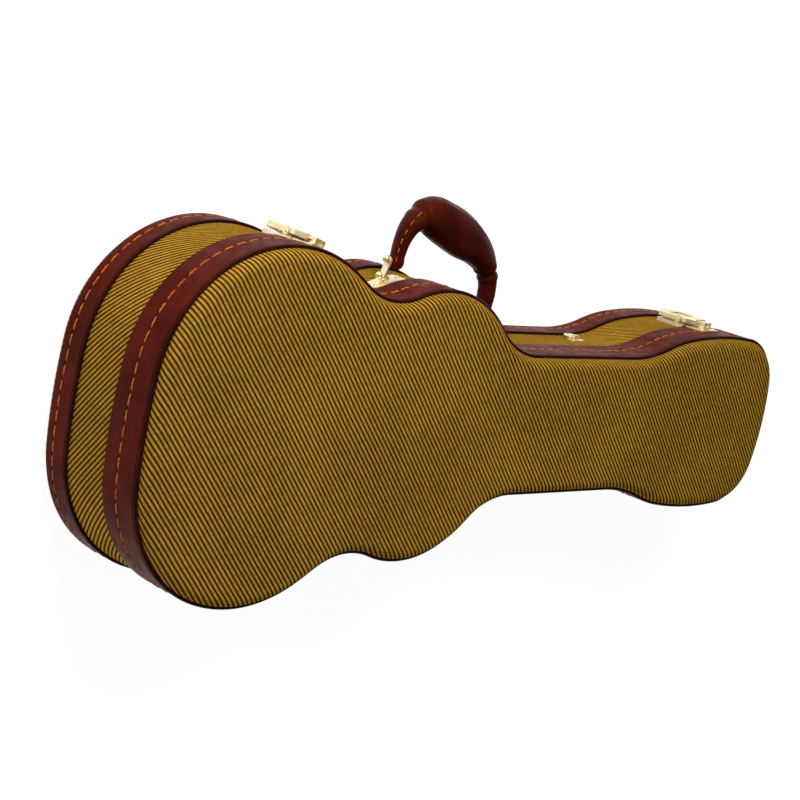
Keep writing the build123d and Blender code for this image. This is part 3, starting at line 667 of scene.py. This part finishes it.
def inflate(obj):
    """Fills an object with air as cloth, for CLOTH_FRAMES frames without gravity."""
    cloth = obj.modifiers.new("cloth", "CLOTH")
    cloth.settings.quality = 5
    cloth.settings.use_pressure = True
    cloth.settings.uniform_pressure_force = 4.0
    cloth.settings.tension_stiffness = 25.0
    cloth.settings.compression_stiffness = 25.0
    cloth.settings.bending_stiffness = 2.0
    cloth.settings.effector_weights.gravity = 0.0
    cloth.point_cache.frame_start = 1
    cloth.point_cache.frame_end = CLOTH_FRAMES
    for number in range(1, CLOTH_FRAMES + 1):
        bpy.context.scene.frame_set(number)
    bake(obj)
    bpy.context.scene.frame_set(1)


def soft_piece(name, node, body, voxel, reach, seed):
    """A plush-covered copy of a CAD solid, rounded and puffed, that moves at most reach millimetres."""
    source = frame["nodes"][node]
    made = bpy.data.objects.new(name, source.data.copy())
    bpy.context.scene.collection.objects.link(made)
    remesh = made.modifiers.new("even", "REMESH")
    remesh.mode = "VOXEL"
    remesh.voxel_size = voxel * MM
    bake(made)
    before = vertices(made)
    inflate(made)
    after = vertices(made)
    wave = ripple(before[:, 0] / MM + before[:, 2] / MM, before[:, 1] / MM, seed, 26.0)
    shift = after - before
    size = np.linalg.norm(shift, axis=1, keepdims=True)
    shift *= np.minimum(1.0, reach * MM / np.maximum(size, 1e-9))
    settled = before + shift * (0.75 + 0.25 * wave[:, None])
    made.data.vertices.foreach_set("co", settled.astype(np.float32).ravel())
    smooth = made.modifiers.new("soft", "SMOOTH")
    smooth.factor, smooth.iterations = 0.5, 4
    fine = made.modifiers.new("fine", "SUBSURF")
    fine.levels = fine.render_levels = 1
    bake(made)
    made.data.materials.clear()
    made.data.materials.append(PLUSH)
    made.data.shade_smooth()
    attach(made, body)
    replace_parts(made, node)


soft_piece("neck_cradle_pad", "neck_cradle", "case_body", 2.6, 0.7, 51)
soft_piece("accessory_box_padded", "accessory_box", "case_body", 1.5, 0.2, 52)
soft_piece("accessory_flap_padded", "accessory_flap", "flap", 1.4, 0.2, 53)

# ---- handle ------------------------------------------------------------------------------
def handle_rows(count):
    """Centre x and y, half thickness, half width and length so far, at even steps along the handle."""
    stations = np.array(HANDLE_STATIONS)
    s = np.concatenate([[0], np.cumsum(np.hypot(*np.diff(stations[:, :2], axis=0).T))])
    rows = []
    slopes = np.gradient(stations, s, axis=0)
    for t in np.linspace(0, s[-1], count):
        k = min(np.searchsorted(s, t, side="right") - 1, len(s) - 2)
        h = s[k + 1] - s[k]
        q = (t - s[k]) / h
        a, b = stations[k], stations[k + 1]
        row = (2 * q**3 - 3 * q**2 + 1) * a + (q**3 - 2 * q**2 + q) * h * slopes[k]
        row += (3 * q**2 - 2 * q**3) * b + (q**3 - q**2) * h * slopes[k + 1]
        rows.append([*row, t])
    return np.array(rows)


def handle_surface(rows, turn, lift=0.0):
    """Points on the leather at angles: 0 is the outer side, 90 the top of the lying case."""
    run = np.gradient(rows[:, :2], axis=0)
    run /= np.linalg.norm(run, axis=1)[:, None]
    out = np.stack([-run[:, 1], run[:, 0]], -1)
    crease = np.ones(len(rows))
    for at in CREASES:
        d = (rows[:, 4] - at) / 1.7
        crease -= 0.13 * np.exp(-d * d)
        for offset in (-4.0, 4.2):
            d = (rows[:, 4] - at - offset) / 1.6
            crease += 0.045 * np.exp(-d * d)
    thick, wide = (rows[:, 2] + lift) * crease, (rows[:, 3] + lift) * crease
    x = rows[:, 0] + out[:, 0] * thick * np.cos(turn)
    y = rows[:, 1] + out[:, 1] * thick * np.cos(turn)
    return np.stack([x, y, HANDLE_Z + wide * np.sin(turn)], -1)


def make_handle():
    """The leather with its seam, creases and padded grip."""
    rows = handle_rows(190)
    sides = 56
    first, last = CREASES
    along = rows[:, 4]
    near = sum(np.exp(-(((along - c) / 13.0) ** 2)) for c in CREASES)
    grip = np.clip((along - first - 4) / 8, 0, 1) * np.clip((last - 4 - along) / 8, 0, 1)
    points, uvs = [], []
    for k in range(sides + 1):
        turn = tau * k / sides
        seam = -0.35 * np.exp(-(((turn - pi) / 0.10) ** 2))
        folds = 0.28 * ripple(along * 3.0, np.full(len(rows), 26.0 * sin(turn)), 61, 30.0)
        ridge = 0.55 * sum(np.exp(-(((turn - r) / 0.075) ** 2)) for r in RIDGES)
        points.append(handle_surface(rows, turn, seam + folds * near + ridge * grip))
        uvs.append(np.stack([along, np.full(len(rows), turn * 10.0)], -1))
    points, uvs = np.vstack(points), np.vstack(uvs)
    faces = []
    n = len(rows)
    for k in range(sides):
        for i in range(n - 1):
            a = k * n + i
            faces.append((a, a + n, a + n + 1, a + 1))
    ends = [[k * n for k in range(sides)], [k * n + n - 1 for k in range(sides)][::-1]]
    faces += [tuple(e) for e in ends]
    made = make_mesh("handle_leather", points, faces, uvs, GRIP_LEATHER)
    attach(made, "handle")
    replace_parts(made, "handle_grip")


def handle_stitches(name, turn, begin, end):
    """Stitches on the leather along one side of the handle."""
    pitch, length = 6.2, 4.2
    dense = handle_rows(900)
    lower = handle_surface(dense, turn, 0.05)
    upper = handle_surface(dense, turn, 1.05)
    runs = []
    for start in np.arange(begin, end - length, pitch):
        run = []
        for i in range(7):
            t = start + length * i / 6
            k = int(np.argmin(abs(dense[:, 4] - t)))
            dip = 0.6 * abs(i / 3 - 1) ** 5
            normal = upper[k] - lower[k]
            run.append((lower[k] - normal * dip, normal))
        runs.append(run)
    made = thread_mesh(name, runs, HANDLE_THREAD)
    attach(made, "handle")


make_handle()
handle_stitches("handle_stitches_tail", radians(38), 5.0, 41.0)
handle_stitches("handle_stitches_head", radians(-38), 136.0, 166.0)

# ---- hardware and wood keep their CAD shape ------------------------------------------------
HIDDEN = {n for o in bpy.context.scene.objects if "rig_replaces" in o for n in o["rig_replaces"]}
SLOTS = {row["node"]: row["material_slot"] for row in frame["record"]["subparts"]}
FINISHES = {
    "brass": BRASS,
    "plywood": PLYWOOD,
    "plush": PLUSH,
    "leatherette": BAND_LEATHER,
    "tweed": FACE_TWEED,
}
for node_name, node_object in frame["nodes"].items():
    if node_name not in HIDDEN:
        node_object.data.materials.clear()
        node_object.data.materials.append(FINISHES[SLOTS[node_name]])

# ---- floor, light and camera ------------------------------------------------------------------
floor_shader = Shader("pale_floor")
paper = floor_shader.noise(floor_shader.place(), 0.004, 2.0)
floor_color = floor_shader.mix(paper, rgb(0.20, 0.20, 0.20), rgb(0.23, 0.23, 0.23))
glow = {"Emission_Color": rgb(1, 1, 1), "Emission_Strength": 0.93}
floor_shader.finish(floor_color, 0.9, Specular_IOR_Level=0.0, **glow)
FLOOR_HALF = 9000.0
FLOOR_LEVEL = -0.3           # just under the back
floor_uvs = [(0, 0), (1, 0), (1, 1), (0, 1)]
floor_corners = [((2 * u - 1) * FLOOR_HALF, (2 * v - 1) * FLOOR_HALF, FLOOR_LEVEL) for u, v in floor_uvs]
floor = make_mesh("floor", floor_corners, [(0, 1, 2, 3)], floor_uvs, floor_shader.material)

world = bpy.data.worlds.new("studio")
world.use_nodes = True
world.node_tree.nodes["Background"].inputs[0].default_value = rgb(1.0, 1.0, 1.0)
world.node_tree.nodes["Background"].inputs[1].default_value = 0.16
bpy.context.scene.world = world


def softbox(name, place, aim, watts, size):
    """A square area light that faces a point; places in metres."""
    lamp = bpy.data.lights.new(name, "AREA")
    lamp.energy, lamp.size = watts, size
    made = bpy.data.objects.new(name, lamp)
    made.location = place
    made.rotation_euler = (Vector(aim) - Vector(place)).to_track_quat("-Z", "Y").to_euler()
    bpy.context.scene.collection.objects.link(made)


softbox("key_light", (-0.42, 1.05, 0.85), (-0.05, 0.0, 0.05), 17.5, 0.7)
softbox("fill_light", (-0.85, -0.55, 1.15), (-0.15, 0.0, 0.05), 2.8, 1.0)

# The camera's angles belong to the case stood on its hinge side, and lying() turns them over with it.
YAW, PITCH, ROLL = radians(47.066), radians(11.142), radians(11.520)
CAMERA_PLACE = (-1.03915, 0.26855, 0.96315)
forward = Vector((sin(YAW) * cos(PITCH), cos(YAW) * cos(PITCH), -sin(PITCH)))
level = Vector((cos(YAW), -sin(YAW), 0.0))
upright = level.cross(forward)
right = level * cos(ROLL) + upright * sin(ROLL)
up = upright * cos(ROLL) - level * sin(ROLL)


def lying(v):
    """From the standing case's axes to the lying case's."""
    return Vector((v.x, v.z, -v.y))


camera_data = bpy.data.cameras.new("camera")
camera_data.lens, camera_data.sensor_width = 85.4, 36.0
camera = bpy.data.objects.new("camera", camera_data)
turned = Matrix((lying(right), lying(up), -lying(forward))).transposed().to_4x4()
camera.matrix_world = Matrix.Translation(CAMERA_PLACE) @ turned
bpy.context.scene.collection.objects.link(camera)
bpy.context.scene.camera = camera
bpy.context.scene.view_settings.view_transform = "Standard"
